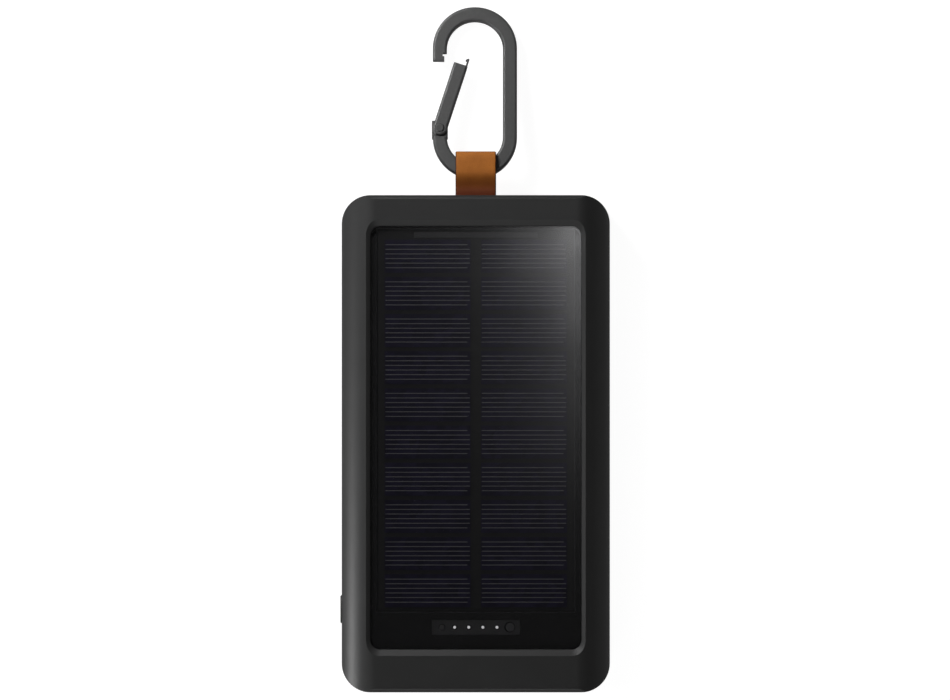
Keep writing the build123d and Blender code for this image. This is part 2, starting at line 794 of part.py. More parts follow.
# folded loop outside the case: a flat-ended teardrop round the carabiner's bow
loop_inner_h = bar_t / 2 + 0.55
loop_outer_h = loop_inner_h + strap_t
throat_v = 1.6
shoulder_v = 4.4
with BuildPart() as strap_loop:
    with BuildSketch(strap_side_plane) as loop_outside:
        with BuildLine():
            Polyline(
                (0, hinge_r),
                (shoulder_v, loop_outer_h),
                (strap_end_v, loop_outer_h),
                (strap_end_v, -loop_outer_h),
                (shoulder_v, -loop_outer_h),
                (0, -hinge_r),
                close=True,
            )
        make_face()
        fillet(loop_outside.vertices().group_by(Axis.X)[-1], 2.3)
        fillet(loop_outside.vertices().group_by(Axis.X)[1], 3.0)
        Circle(hinge_r)
    extrude(amount=strap_w / 2, both=True)
    with BuildSketch(strap_side_plane) as loop_inside:
        with BuildLine():
            Polyline(
                (throat_v, 0.35),
                (shoulder_v, loop_inner_h),
                (strap_end_v - strap_t, loop_inner_h),
                (strap_end_v - strap_t, -loop_inner_h),
                (shoulder_v, -loop_inner_h),
                (throat_v, -0.35),
                close=True,
            )
        make_face()
        fillet(loop_inside.vertices().group_by(Axis.X)[-1], 1.15)
        fillet(loop_inside.vertices().group_by(Axis.X)[1], 1.9)
    extrude(amount=strap_w, both=True, mode=Mode.SUBTRACT)
strap_loop.part.label = "strap_loop"
export_step(strap_loop.part, "parts/strap_loop.step")

# ---- carabiner ---------------------------------------------------------------

gate_l = nose_v - pivot_v - 0.25
half_w = bar_w / 2
half_t = bar_t / 2
neck_in = 1.45              # the lip: a thin neck with a hooked head on its end
head_in = 0.95
lip_out = 1.9
head_w0 = gate_l + 1.5
head_w1 = gate_l + 2.3
lip_half = 1.0
slot_r = 3.4                # room in the fork for the knuckle's corners
spring_bore_r = 0.95
bore_start = slot_r - 0.3

# the pivot, and the gate's own directions: s across it, inwards, and w along it
pivot_plane = Plane(
    origin=loop_plane.from_local_coords(Vector(left_u, pivot_v, 0)),
    x_dir=loop_plane.x_dir,
    z_dir=loop_plane.z_dir,
)
open_angle = radians(gate_open)
gate_plane = Plane(
    origin=pivot_plane.origin,
    x_dir=pivot_plane.x_dir * cos(open_angle) - pivot_plane.y_dir * sin(open_angle),
    z_dir=pivot_plane.z_dir,
)
through_gate = Axis(gate_plane.origin, gate_plane.z_dir)


def across_gate(w):
    """The plane square to the gate's length, w away from the pivot."""
    return Plane(
        origin=gate_plane.from_local_coords(Vector(0, w, 0)),
        x_dir=gate_plane.x_dir,
        z_dir=gate_plane.y_dir,
    )


# bent bar with a flat knuckle at the hinge and a notch in its nose
with BuildPart() as carabiner_frame:
    with BuildLine(loop_plane):
        ThreePointArc((left_u, near_v), (carabiner_x, near_v - bow_r), (right_u, near_v))
        Line((right_u, near_v), (right_u, far_v))
        ThreePointArc((right_u, far_v), (carabiner_x, far_v + bow_r), (left_u, far_v))
        Line((left_u, far_v), (left_u, nose_v))
    with BuildSketch(
        Plane(
            origin=loop_plane.from_local_coords(Vector(left_u, near_v, 0)),
            x_dir=loop_plane.x_dir,
            z_dir=loop_plane.y_dir,
        )
    ):
        RectangleRounded(bar_w, bar_t, bar_edge)
    sweep()
    with BuildSketch(pivot_plane.offset(-tongue_half)):
        with Locations((0, (knuckle_v + near_v - pivot_v - 0.6) / 2)):
            RectangleRounded(knuckle_w, knuckle_v + pivot_v - near_v + 0.6, 0.25)
        Circle(pin_r, mode=Mode.SUBTRACT)
    extrude(amount=2 * tongue_half)
    with BuildSketch(pivot_plane.offset(-half_t - 1)):
        with Locations((lip_out + 0.2, (gate_l + head_w1) / 2)):
            Rectangle(2 * (lip_out + 0.2 - neck_in) + 0.3, head_w1 - gate_l)
        with Locations((half_w, (head_w0 + head_w1) / 2 + 0.05)):
            Rectangle(2 * (half_w - head_in) + 0.3, head_w1 - head_w0 + 0.35)
    extrude(amount=bar_t + 2, mode=Mode.SUBTRACT)
carabiner_frame.part.label = "carabiner_frame"
export_step(carabiner_frame.part, "parts/carabiner_frame.step")

# straight gate: forked round end on the pivot, hooked lip at the free end
with BuildPart() as carabiner_gate:
    with BuildSketch(gate_plane.offset(-half_t)):
        Circle(pivot_r)
        with Locations((0, gate_l / 2 + 1)):
            Rectangle(bar_w, gate_l + 2)
    extrude(amount=bar_t)
    broad_faces = carabiner_gate.faces().sort_by(through_gate)
    fillet(broad_faces[0].edges() + broad_faces[-1].edges(), bar_edge - 0.05)
    split(bisect_by=across_gate(gate_l), keep=Keep.BOTTOM)
    with BuildSketch(gate_plane.offset(-slot_half)):
        Circle(slot_r)
        with Locations((0, -slot_r)):
            Rectangle(3 * slot_r, 2 * slot_r)
    extrude(amount=2 * slot_half, mode=Mode.SUBTRACT)
    with BuildSketch(gate_plane.offset(-lip_half)):
        with Locations(((neck_in + lip_out) / 2, (gate_l - 0.6 + head_w1) / 2)):
            Rectangle(lip_out - neck_in, head_w1 - gate_l + 0.6)
        with BuildLine():
            Polyline(
                (lip_out, head_w0),
                (neck_in, head_w0),
                (head_in, head_w0 + 0.15),
                (neck_in, head_w1),
                (lip_out, head_w1),
                close=True,
            )
        make_face()
    extrude(amount=2 * lip_half)
    with BuildSketch(gate_plane):
        Circle(pin_r + 0.05)
    extrude(amount=half_t + 1, both=True, mode=Mode.SUBTRACT)
    with BuildSketch(across_gate(bore_start)):
        Circle(spring_bore_r)
    extrude(amount=8.0, mode=Mode.SUBTRACT)
carabiner_gate.part.label = "carabiner_gate"
export_step(carabiner_gate.part, "parts/carabiner_gate.step")

# rivet through the fork and the knuckle, with domed heads
rivet_head_r = 1.2
rivet_head_t = 0.35
with BuildPart() as gate_pin:
    with BuildSketch(pivot_plane.offset(-half_t - 0.1)):
        Circle(pin_r)
    extrude(amount=bar_t + 0.2)
    with BuildSketch(pivot_plane.offset(half_t + 0.05)):
        Circle(rivet_head_r)
    extrude(amount=rivet_head_t)
    with BuildSketch(pivot_plane.offset(-half_t - 0.05 - rivet_head_t)):
        Circle(rivet_head_r)
    extrude(amount=rivet_head_t)
    head_faces = gate_pin.faces().sort_by(through_gate)
    fillet(head_faces[0].edges() + head_faces[-1].edges(), 0.25)
gate_pin.part.label = "gate_pin"
export_step(gate_pin.part, "parts/gate_pin.step")

# plunger and coil spring inside the gate, that push on the knuckle
with BuildPart() as gate_plunger:
    with BuildSketch(across_gate(slot_r + 0.05)):
        Circle(spring_bore_r - 0.1)
    extrude(amount=1.6)
gate_plunger.part.label = "gate_plunger"
export_step(gate_plunger.part, "parts/gate_plunger.step")

spring_plane = across_gate(slot_r + 1.9)
spring_wire_r = 0.14
spring_coil_r = 0.66
with BuildPart() as gate_spring:
    with BuildLine() as coil:
        Helix(
            pitch=0.6,
            height=5.4,
            radius=spring_coil_r,
            center=spring_plane.origin,
            direction=spring_plane.z_dir,
        )
    with BuildSketch(Plane(origin=coil.line @ 0, z_dir=coil.line % 0)):
        Circle(spring_wire_r)
    sweep(is_frenet=True)
gate_spring.part.label = "gate_spring"
export_step(gate_spring.part, "parts/gate_spring.step")
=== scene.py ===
"""Looks for the solar phone charger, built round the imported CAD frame. Metres."""

import json
import math

import bmesh
import bpy
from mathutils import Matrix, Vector


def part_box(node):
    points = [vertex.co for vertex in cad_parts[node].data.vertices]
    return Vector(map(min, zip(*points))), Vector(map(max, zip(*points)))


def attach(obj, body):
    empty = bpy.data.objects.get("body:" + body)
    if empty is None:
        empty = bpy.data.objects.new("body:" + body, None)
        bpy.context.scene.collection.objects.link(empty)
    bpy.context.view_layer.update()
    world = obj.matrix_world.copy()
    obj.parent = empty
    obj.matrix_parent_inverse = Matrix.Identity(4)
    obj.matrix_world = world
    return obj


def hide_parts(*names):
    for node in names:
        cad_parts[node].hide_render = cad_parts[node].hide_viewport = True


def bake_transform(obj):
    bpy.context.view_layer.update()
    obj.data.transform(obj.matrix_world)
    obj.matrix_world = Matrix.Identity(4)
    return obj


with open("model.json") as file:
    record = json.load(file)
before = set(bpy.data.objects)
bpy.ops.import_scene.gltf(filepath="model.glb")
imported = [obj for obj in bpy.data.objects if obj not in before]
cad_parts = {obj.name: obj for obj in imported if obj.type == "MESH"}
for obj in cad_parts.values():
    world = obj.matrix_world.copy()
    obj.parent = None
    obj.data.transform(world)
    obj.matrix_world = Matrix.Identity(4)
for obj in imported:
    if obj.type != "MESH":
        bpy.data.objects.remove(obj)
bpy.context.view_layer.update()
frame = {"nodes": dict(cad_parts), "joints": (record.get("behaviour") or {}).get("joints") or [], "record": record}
nodes = frame["nodes"]
slot_of = {part["node"]: part["material_slot"] for part in frame["record"]["subparts"]}
joints = {joint["name"]: joint for joint in frame["joints"]}
MM = 0.001

# ---- camera -------------------------------------------------------------------

VIEW_WIDTH = 276.4 * MM
VIEW_CENTRE = (-0.23 * MM, 27.24 * MM)
LENS = 1000.0
SENSOR = 36.0


def make_camera():
    """A very long lens straight above, framing the charger and its carabiner."""
    rear_low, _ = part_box("rear_shell")
    _, front_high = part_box("front_shell")
    height = (rear_low.z + front_high.z) / 2 + VIEW_WIDTH * LENS / SENSOR
    data = bpy.data.cameras.new("camera")
    data.lens = LENS
    data.sensor_width = SENSOR
    data.clip_end = 20
    camera = bpy.data.objects.new("camera", data)
    camera.location = (*VIEW_CENTRE, height)
    bpy.context.scene.collection.objects.link(camera)
    bpy.context.scene.camera = camera


make_camera()

# ---- mesh helpers ---------------------------------------------------------------


class Shape:
    """Vertices and faces gathered from several lofts into one piece."""

    def __init__(self):
        self.verts = []
        self.faces = []

    def loft(self, rings, looped=False):
        """Skins rings of equally many points, and caps both ends unless looped."""
        count = len(rings[0])
        base = len(self.verts)
        for ring in rings:
            self.verts.extend(ring)
        steps = len(rings) if looped else len(rings) - 1
        for i in range(steps):
            here = base + i * count
            there = base + (i + 1) % len(rings) * count
            for j in range(count):
                k = (j + 1) % count
                self.faces.append((here + j, here + k, there + k, there + j))
        if not looped:
            last = base + (len(rings) - 1) * count
            self.faces.append(tuple(range(base, base + count)))
            self.faces.append(tuple(range(last, last + count)))

    def place(self, name):
        """Puts the bare shape in the scene, with its normals facing outwards."""
        mesh = bpy.data.meshes.new(name)
        mesh.from_pydata([tuple(v) for v in self.verts], [], self.faces)
        bm = bmesh.new()
        bm.from_mesh(mesh)
        bmesh.ops.recalc_face_normals(bm, faces=bm.faces)
        bm.to_mesh(mesh)
        bm.free()
        piece = bpy.data.objects.new(name, mesh)
        bpy.context.scene.collection.objects.link(piece)
        return piece

    def make(self, name, material, body, crease=35):
        """Turns the shape into a smooth-shaded object that rides on a body."""
        piece = self.place(name)
        mesh = piece.data
        mesh.polygons.foreach_set("use_smooth", [True] * len(mesh.polygons))
        mesh.set_sharp_from_angle(angle=math.radians(crease))
        mesh.materials.append(material)
        if body:
            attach(piece, body)
        return piece


def rounded_ring(width, height, radius, corner=6, along=1):
    """Points round a rounded rectangle, centred on the origin, anticlockwise."""
    radius = min(radius, width / 2, height / 2)
    ends = [(1, 1, 0), (-1, 1, 90), (-1, -1, 180), (1, -1, 270)]
    points = []
    for side, (sx, sy, start) in enumerate(ends):
        cx = sx * (width / 2 - radius)
        cy = sy * (height / 2 - radius)
        for i in range(corner + 1):
            angle = math.radians(start + 90 * i / corner)
            points.append((cx + radius * math.cos(angle), cy + radius * math.sin(angle)))
        if side % 2 == 0:
            run = width - 2 * radius
            for i in range(1, along):
                points.append((cx - sx * run * i / along, cy + sy * radius))
    return points


def smooth(a, b, x):
    """0 before a, 1 after b, and an S between."""
    t = min(max((x - a) / (b - a), 0), 1)
    return t * t * (3 - 2 * t)


# ---- materials ------------------------------------------------------------------


class Look:
    """A short way to write a procedural material's nodes."""

    def __init__(self, name, **sockets):
        self.material = bpy.data.materials.new(name)
        self.material.use_nodes = True
        self.tree = self.material.node_tree
        self.bsdf = self.tree.nodes["Principled BSDF"]
        self.place = self.node("ShaderNodeTexCoord").outputs["Object"]
        for key, value in sockets.items():
            self.bsdf.inputs[key.replace("_", " ")].default_value = value

    def node(self, kind, **settings):
        made = self.tree.nodes.new(kind)
        for key, value in settings.items():
            setattr(made, key, value)
        return made

    def link(self, source, target):
        self.tree.links.new(source, target)

    def stretched(self, scale):
        """The place on the object, stretched along its axes."""
        mapping = self.node("ShaderNodeMapping")
        mapping.inputs["Scale"].default_value = scale
        self.link(self.place, mapping.inputs["Vector"])
        return mapping.outputs["Vector"]

    def noise(self, scale, detail=3.0, roughness=0.55, place=None):
        """Cloudy noise; scale is in cycles per metre."""
        made = self.node("ShaderNodeTexNoise")
        made.inputs["Scale"].default_value = scale
        made.inputs["Detail"].default_value = detail
        made.inputs["Roughness"].default_value = roughness
        self.link(place or self.place, made.inputs["Vector"])
        return made.outputs["Fac"]

    def cells(self, scale, feature="F1", place=None):
        """Distance into Voronoi cells; scale is in cells per metre."""
        made = self.node("ShaderNodeTexVoronoi", feature=feature)
        made.inputs["Scale"].default_value = scale
        self.link(place or self.place, made.inputs["Vector"])
        return made.outputs["Distance"]

    def ramp(self, fac, *stops):
        """A colour ramp; each stop is (position, colour)."""
        made = self.node("ShaderNodeValToRGB")
        elements = made.color_ramp.elements
        while len(elements) < len(stops):
            elements.new(0.5)
        for element, (position, colour) in zip(elements, stops):
            element.position = position
            element.color = (*colour, 1)
        self.link(fac, made.inputs["Fac"])
        return made.outputs["Color"]

    def spread(self, fac, low, high, start=0.0, end=1.0):
        """Maps start..end to low..high."""
        made = self.node("ShaderNodeMapRange")
        made.inputs["From Min"].default_value = start
        made.inputs["From Max"].default_value = end
        made.inputs["To Min"].default_value = low
        made.inputs["To Max"].default_value = high
        self.link(fac, made.inputs["Value"])
        return made.outputs["Result"]

    def mix(self, fac, a, b):
        """Mixes two colours by fac; each is a socket or a colour."""
        made = self.node("ShaderNodeMix", data_type="RGBA")
        self.link(fac, made.inputs[0])
        for socket, value in ((made.inputs[6], a), (made.inputs[7], b)):
            if isinstance(value, tuple):
                socket.default_value = (*value, 1)
            else:
                self.link(value, socket)
        return made.outputs[2]

    def stored(self, name):
        """A number that the mesh stores at its points."""
        made = self.node("ShaderNodeAttribute", attribute_name=name)
        return made.outputs["Fac"]

    def colour(self, socket):
        self.link(socket, self.bsdf.inputs["Base Color"])

    def rough(self, socket):
        self.link(socket, self.bsdf.inputs["Roughness"])

    def bump(self, *layers):
        """Stacks bumps; each layer is (height socket, strength, distance)."""
        normal = None
        for height, strength, distance in layers:
            made = self.node("ShaderNodeBump")
            made.inputs["Strength"].default_value = strength
            made.inputs["Distance"].default_value = distance
            self.link(height, made.inputs["Height"])
            if normal is not None:
                self.link(normal, made.inputs["Normal"])
            normal = made.outputs["Normal"]
        self.link(normal, self.bsdf.inputs["Normal"])


def grey(level, warm=0.0):
    """A grey, slightly warm or, below zero, slightly cool."""
    return (level * (1 + warm), level, level * (1 - warm))


def moulded(name, dark, light, rough, grain=5000, height=0.006 * MM, **sockets):
    """Moulded plastic or rubber: faint mottling, uneven gloss, spark-eroded grain."""
    look = Look(name, **sockets)
    look.colour(look.ramp(look.noise(70), (0.35, dark), (0.65, light)))
    look.rough(look.spread(look.noise(160), *rough))
    look.bump((look.noise(grain, 2.0, 0.6), 0.6, height))
    return look.material


def metal(name, dark, light, rough, brushed, height=0.002 * MM, metallic=1.0):
    """Metal with fine brushing along one axis and soft smudges in its gloss."""
    look = Look(name, Metallic=metallic)
    streaks = look.noise(1500, 3.0, 0.6, look.stretched(brushed))
    look.colour(look.ramp(streaks, (0.3, dark), (0.7, light)))
    look.rough(look.spread(look.noise(220), *rough))
    look.bump((streaks, 0.5, height))
    return look.material


def anodised_metal():
    """Grey satin anodised aluminium with a fine bead-blasted grain."""
    look = Look("anodised_metal", Metallic=0.45)
    look.colour(look.ramp(look.noise(900, 4.0), (0.3, grey(0.088)), (0.7, grey(0.098))))
    look.rough(look.spread(look.noise(300), 0.42, 0.52))
    look.bump((look.noise(7000, 2.0), 0.5, 0.004 * MM), (look.noise(400), 0.3, 0.01 * MM))
    return look.material


def smoked_glass():
    """The panel's tinted cover: clear but dark, with a soft gloss on top."""
    look = Look("smoked_glass")
    clear = look.node("ShaderNodeBsdfTransparent")
    clear.inputs["Color"].default_value = (0.9, 0.9, 0.91, 1)
    gloss = look.node("ShaderNodeBsdfGlossy")
    gloss.inputs["Color"].default_value = (1, 1, 1, 1)
    look.link(look.spread(look.noise(120), 0.17, 0.19), gloss.inputs["Roughness"])
    weight = look.node("ShaderNodeLayerWeight")
    weight.inputs["Blend"].default_value = 0.5
    steep = look.node("ShaderNodeMath", operation="POWER")
    look.link(weight.outputs["Facing"], steep.inputs[0])
    steep.inputs[1].default_value = 5
    mix = look.node("ShaderNodeMixShader")
    look.link(look.spread(steep.outputs[0], 0.04, 1.0), mix.inputs[0])
    look.link(clear.outputs[0], mix.inputs[1])
    look.link(gloss.outputs[0], mix.inputs[2])
    look.link(mix.outputs[0], look.tree.nodes["Material Output"].inputs["Surface"])
    look.tree.nodes.remove(look.bsdf)
    return look.material


def silicon():
    """Dark blue-violet cell with crystal flakes."""
    look = Look("silicon_cell", Specular_IOR_Level=0.15)
    flakes = look.node("ShaderNodeTexVoronoi")
    flakes.inputs["Scale"].default_value = 420
    look.link(look.place, flakes.inputs["Vector"])
    tone = look.node("ShaderNodeRGBToBW")
    look.link(flakes.outputs["Color"], tone.inputs[0])
    look.colour(look.ramp(tone.outputs[0], (0.2, (0.005, 0.0042, 0.0125)), (0.8, (0.009, 0.0073, 0.022))))
    look.rough(look.spread(tone.outputs[0], 0.35, 0.5))
    look.bump((look.noise(3000), 0.3, 0.002 * MM))
    return look.material


def leather():
    """Smooth brown leather: pores, soft creases, painted shade that darkens the root by the case, and painted
    shade along the edges and the fold's end.
    """
    look = Look("leather", Specular_IOR_Level=0.2)
    face = look.ramp(look.noise(260, 4.0), (0.3, (0.37, 0.121, 0.018)), (0.7, (0.46, 0.155, 0.023)))
    pores = look.cells(2600, "DISTANCE_TO_EDGE")
    face = look.mix(look.spread(pores, 0.3, 0.0, 0.0, 0.12), face, (0.2, 0.055, 0.008))
    # Painted shade: the band darkens towards its root in the case, where the case wall and the loop's shoulder
    # shade it.
    face = look.mix(look.stored("root_shade"), face, (0.115, 0.024, 0.007))
    # Painted shade: dark rims along the band's rounded sides and at the fold's end, where they turn away from the
    # light.
    look.colour(look.mix(look.stored("edge"), face, (0.05, 0.014, 0.004)))
    look.rough(look.spread(look.noise(700), 0.5, 0.62))
    look.bump((pores, 0.25, 0.02 * MM), (look.noise(500, 4.0), 0.3, 0.05 * MM))
    return look.material


def circuit_board():
    """Green solder mask with lighter tracks under it."""
    look = Look("circuit_board", Coat_Weight=0.3)
    tracks = look.node("ShaderNodeTexBrick")
    tracks.inputs["Scale"].default_value = 260
    tracks.inputs["Mortar Size"].default_value = 0.06
    tracks.inputs["Color1"].default_value = (0.008, 0.05, 0.018, 1)
    tracks.inputs["Color2"].default_value = (0.009, 0.058, 0.02, 1)
    tracks.inputs["Mortar"].default_value = (0.02, 0.12, 0.04, 1)
    look.link(look.place, tracks.inputs["Vector"])
    look.colour(tracks.outputs["Color"])
    look.rough(look.spread(look.noise(200), 0.3, 0.42))
    look.bump((tracks.outputs["Fac"], 0.4, 0.03 * MM))
    return look.material


def glowing(name, strength):
    """A frosted window that glows white."""
    look = Look(name, Emission_Color=(1, 1, 1, 1), Emission_Strength=strength, Roughness=0.4)
    look.colour(look.ramp(look.noise(3000), (0.3, grey(0.2)), (0.7, grey(0.25))))
    look.bump((look.noise(9000), 0.3, 0.003 * MM))
    return look.material


looks = {
    "shell_plastic": moulded("shell_plastic", grey(0.0155), grey(0.0175), (0.46, 0.54)),
    "button_plastic": moulded("button_plastic", grey(0.018), grey(0.021), (0.36, 0.44), 3500),
    "panel_cover": smoked_glass(),
    "silicon": silicon(),
    "panel_board": moulded(
        "panel_board", grey(0.0105), grey(0.012), (0.45, 0.6), 2500, Specular_IOR_Level=0.15
    ),
    "copper": metal("lacquered_ribbon", grey(0.010), grey(0.012), (0.45, 0.6), (1, 12, 1), metallic=0.0),
    "adhesive": moulded("adhesive", grey(0.0115), grey(0.013), (0.17, 0.19), 2500, 0.001 * MM),
    "clear_plastic": moulded(
        "clear_plastic", grey(0.0025), grey(0.0035), (0.17, 0.19), 2500, Specular_IOR_Level=0.2
    ),
    "circuit_board": circuit_board(),
    "led_body": moulded("led_body", grey(0.65), grey(0.75), (0.3, 0.4)),
    "steel": metal("steel", grey(0.5), grey(0.62), (0.22, 0.36), (1, 10, 10)),
    "black_plastic": moulded("black_plastic", grey(0.012), grey(0.016), (0.35, 0.5)),
    "capacitor_body": moulded("capacitor_body", (0.2, 0.13, 0.07), (0.26, 0.17, 0.1), (0.3, 0.4)),
    "connector_plastic": moulded("connector_plastic", grey(0.55, 0.05), grey(0.65, 0.05), (0.35, 0.45)),
    "foil": metal("cell_foil", grey(0.4), grey(0.6), (0.25, 0.45), (1, 6, 1), 0.02 * MM),
    "foam": moulded("foam", grey(0.02), grey(0.04), (0.85, 0.95), 1800, 0.15 * MM),
    "lead_red": moulded("lead_red", (0.35, 0.01, 0.008), (0.42, 0.015, 0.01), (0.35, 0.5)),
    "lead_black": moulded("lead_black", grey(0.01), grey(0.014), (0.35, 0.5)),
    "rubber": moulded("rubber", grey(0.013), grey(0.017), (0.62, 0.74), 2600, 0.012 * MM),
    "leather": leather(),
    "carabiner_metal": anodised_metal(),
}

for name, node in nodes.items():
    node.data.materials.clear()
    node.data.materials.append(looks[slot_of[name]])
nodes["gate_pin"].data.materials[0] = metal(
    "blackened_steel", grey(0.07), grey(0.09), (0.45, 0.55), (1, 10, 10), metallic=0.5
)

# ---- solar panel ------------------------------------------------------------------

CELL_ROWS = 10
CELL_LENGTH = 9.6 * MM
CELL_WIDTH = 25.0 * MM
LINES_PER_CELL = 6
LINE_PITCH = 1.34 * MM
LINE_WIDTH = 0.24 * MM
LINE_HEIGHT = 0.02 * MM
LINE_INSET = 0.25 * MM
OUTER_LINE_TRIM = 0.7 * MM
LIGHT_COUNT = 4
LIGHT_PITCH = 4.1 * MM
LIGHT_RADIUS = 0.42 * MM
WINDOW_RISE = 0.035 * MM


def add_bar(shape, x0, x1, y, z):
    """One low line along X with bevelled long edges, half sunk in the cell."""
    ring = rounded_ring(LINE_WIDTH, 2 * LINE_HEIGHT, 0.6 * LINE_HEIGHT, 2)
    shape.loft([[Vector((x, y + a, z + b)) for a, b in ring] for x in (x0, x1)])


def collector_lines():
    """The printed silver lines that cross every cell."""
    low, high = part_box("solar_cells")
    pitch = (high.y - low.y - CELL_LENGTH) / (CELL_ROWS - 1)
    shape = Shape()
    for row in range(CELL_ROWS):
        middle = high.y - CELL_LENGTH / 2 - row * pitch
        for line in range(LINES_PER_CELL):
            y = middle + (line - (LINES_PER_CELL - 1) / 2) * LINE_PITCH
            for start in (low.x, high.x - CELL_WIDTH):
                trim = OUTER_LINE_TRIM if line in (0, LINES_PER_CELL - 1) else 0
                x0 = start + LINE_INSET
                x1 = start + CELL_WIDTH - LINE_INSET - trim
                add_bar(shape, x0, x1, y, high.z)
    return shape.make("collector_lines", looks["line_paste"], "case", 60)


def light_window(shape, x, y, z, radius):
    """A small domed disc that stands on a light guide."""
    rings = []
    for share, lift in ((1, 0), (1, 0.3), (0.93, 0.75), (0.7, 0.95), (0.35, 1)):
        circle = rounded_ring(2 * radius * share, 2 * radius * share, radius, 8)
        rings.append([Vector((x + a, y + b, z + lift * WINDOW_RISE)) for a, b in circle])
    shape.loft(rings)


def status_windows():
    """Four lit windows between an unlit small one and an unlit large one."""
    low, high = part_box("light_guide")
    y = (low.y + high.y) / 2
    lit = Shape()
    for i in range(LIGHT_COUNT):
        x = (i - (LIGHT_COUNT - 1) / 2) * LIGHT_PITCH
        light_window(lit, x, y, high.z, LIGHT_RADIUS)
    lit.make("lit_windows", glowing("lit_window", 0.52), "case")
    for name, x, radius in (("small_window", -9.85, 0.8), ("large_window", 10.0, 1.3)):
        unlit = Shape()
        light_window(unlit, x * MM, y, high.z, radius * MM)
        unlit.make(name, looks["unlit_window"], "case")


looks["line_paste"] = metal("line_paste", grey(0.066), grey(0.076), (0.5, 0.6), (8, 1, 1), metallic=0.0)
looks["unlit_window"] = moulded("unlit_window", grey(0.03), grey(0.033), (0.4, 0.5), 9000)
collector_lines()
status_windows()

# ---- leather strap ------------------------------------------------------------------

STRAP_WIDTH = 11.8 * MM
STRAP_THICKNESS = 1.1 * MM
SHOULDER = 4.9 * MM
CREST = 8.2 * MM
ARCH = 0.15 * MM
LOOP_HALF = 2.9 * MM
END_RADIUS = 1.75 * MM
END_INSET = 0.83 * MM
PIN_GAP = 0.05 * MM
LAYER_GAP = 0.08 * MM
strap_hinge = Vector(joints["strap_flex"]["pos_m"])
loop_normal = Vector(joints["carabiner_sway"]["axis"]).normalized()
loop_tilt = math.atan2(loop_normal.y, loop_normal.z)


def crown(v):
    """How far the band's arch over the carabiner lies under its crest."""
    if v < SHOULDER:
        return ARCH * smooth(0, SHOULDER, v)
    return ARCH * ((v - CREST) / (CREST - SHOULDER)) ** 2


def strap_line():
    """The band's middle line, a closed loop in (v, h): v outwards, h upwards."""
    pin_low, pin_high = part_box("strap_pin")
    pin_v = (pin_low.y + pin_high.y) / 2 - strap_hinge.y
    wrap = (pin_high.z - pin_low.z) / 2 + PIN_GAP + STRAP_THICKNESS / 2
    _, loop_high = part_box("strap_loop")
    end_v = (loop_high.y - strap_hinge.y) / math.cos(loop_tilt) - END_INSET
    half = (STRAP_THICKNESS + LAYER_GAP) / 2
    upper = []
    turn = math.acos(half / wrap)
    for i in range(13):
        angle = math.pi - (math.pi - (math.pi / 2 - turn)) * i / 12
        upper.append((pin_v + wrap * math.cos(angle), wrap * math.sin(angle)))
    start_v = upper[-1][0]
    stop_v = end_v - END_RADIUS
    steps = 70
    for i in range(1, steps):
        v = start_v + (stop_v - start_v) * i / steps
        upper.append((v, half + (LOOP_HALF - half) * smooth(0, SHOULDER, v) - crown(v)))
    for i in range(9):
        angle = math.pi / 2 * i / 8
        across = LOOP_HALF - END_RADIUS + END_RADIUS * math.cos(angle)
        upper.append((stop_v + END_RADIUS * math.sin(angle), across))
    lower = [(v, -h) for v, h in reversed(upper)]
    return upper + lower[:-1]


def strap_point(x, v, h):
    """A point of the strap, whose outer part tilts down towards the carabiner."""
    angle = loop_tilt * smooth(-1.2 * MM, 1.2 * MM, v)
    out = Vector((0, math.cos(angle), -math.sin(angle)))
    up = Vector((0, math.sin(angle), math.cos(angle)))
    return strap_hinge + Vector((x, 0, 0)) + v * out + h * up


def leather_strap():
    """One continuous band, round the pin in the case and round the carabiner."""
    line = strap_line()
    section = rounded_ring(STRAP_WIDTH, STRAP_THICKNESS, 0.4 * MM, 4, 10)
    shape = Shape()
    rings = []
    for i, (v, h) in enumerate(line):
        v0, h0 = line[i - 1]
        v1, h1 = line[(i + 1) % len(line)]
        along = Vector((v1 - v0, h1 - h0)).normalized()
        ring = []
        for x, lift in section:
            ring.append(strap_point(x, v + along.y * -lift, h + along.x * lift))
        rings.append(ring)
    shape.loft(rings, looped=True)
    strap = shape.make("leather_strap", looks["leather"], None, 60)
    root_shade = strap.data.attributes.new("root_shade", "FLOAT", "POINT")
    edge = strap.data.attributes.new("edge", "FLOAT", "POINT")
    fold = max(v for v, _ in line)
    index = 0
    for v, _ in line:
        for x, _ in section:
            side = smooth(5.5 * MM, 5.8 * MM, abs(x))
            # Painted shade: full at the root inside the case, fading out past the loop's shoulder.
            root_shade.data[index].value = 1 - smooth(-1.5 * MM, 6.6 * MM, v)
            # Painted shade on the rounded sides and at the fold's end.
            edge.data[index].value = max(side, smooth(fold - 0.22 * MM, fold, v))
            index += 1
    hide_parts("strap_root", "strap_loop")
    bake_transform(strap)


leather_strap()

# ---- rubber grip pad ------------------------------------------------------------------

PAD_CORNER = 6.0 * MM
GROOVES = 16
GROOVE_PITCH = 8.0 * MM
GROOVE_WIDTH = 2.0 * MM
GROOVE_DEPTH = 0.35 * MM


def cut(piece, cutter):
    """Takes the cutter's volume out of the piece for good."""
    modifier = piece.modifiers.new("cut", "BOOLEAN")
    modifier.operation = "DIFFERENCE"
    modifier.solver = "EXACT"
    modifier.object = cutter
    apply_modifiers(piece)
    bpy.data.objects.remove(cutter, do_unlink=True)


def apply_modifiers(piece):
    """Replaces the piece's mesh with its evaluated one."""
    graph = bpy.context.evaluated_depsgraph_get()
    mesh = bpy.data.meshes.new_from_object(piece.evaluated_get(graph))
    piece.modifiers.clear()
    piece.data = mesh


